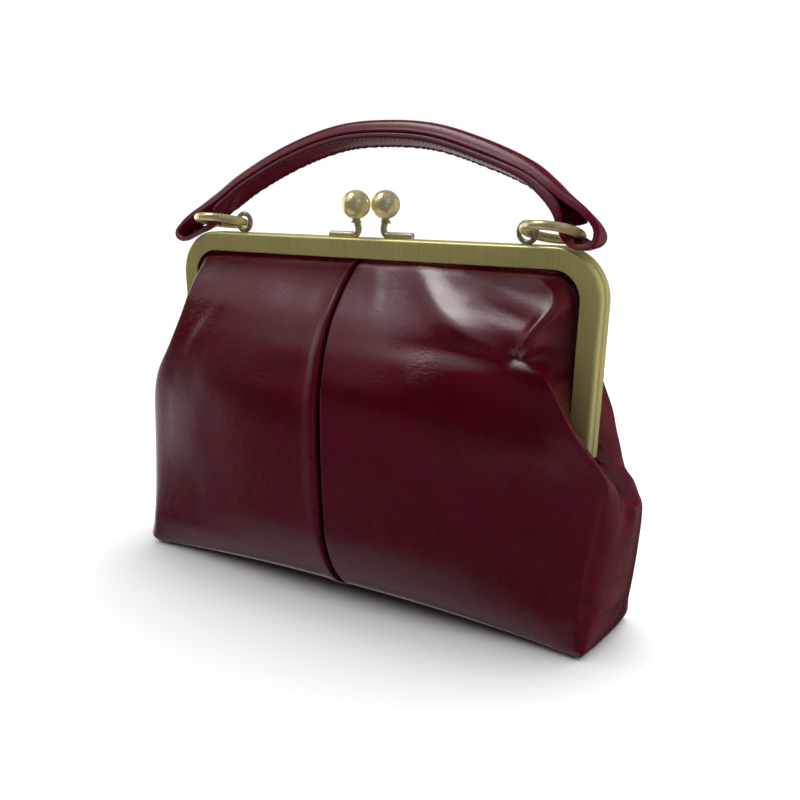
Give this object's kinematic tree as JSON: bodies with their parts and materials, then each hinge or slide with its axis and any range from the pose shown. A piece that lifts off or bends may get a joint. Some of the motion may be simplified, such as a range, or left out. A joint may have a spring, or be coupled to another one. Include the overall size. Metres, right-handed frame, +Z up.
{
  "type": "leather frame bag",
  "caption": "Soft hollow leather bag hung in a two-part hinged brass frame with a kiss-lock clasp of balls and a padded strap handle on rings.",
  "frame": {"origin": "On the floor at the bottom centre of the bounding box, below the middle of the frame.", "axes": "+X is the bag's right seen from its front and its longest extent, -Y faces the front, +Z is up."},
  "size_m": [0.3286, 0.0944, 0.263],
  "materials": {
    "body_leather": "glossy, softly creased burgundy",
    "handle_leather": "glossy burgundy with rolled edges",
    "brushed_brass": "brushed antique",
    "worn_brass": "worn antique, with grey patches"
  },
  "bodies": {
    "root": {"leather_body": "body_leather", "frame_front": "brushed_brass", "frame_back": "brushed_brass", "hinge_rivet_left": "worn_brass", "hinge_rivet_right": "worn_brass", "ring_left": "worn_brass", "ring_right": "worn_brass", "handle_grip": "handle_leather", "handle_lining": "handle_leather"}
  },
  "joints": []
}
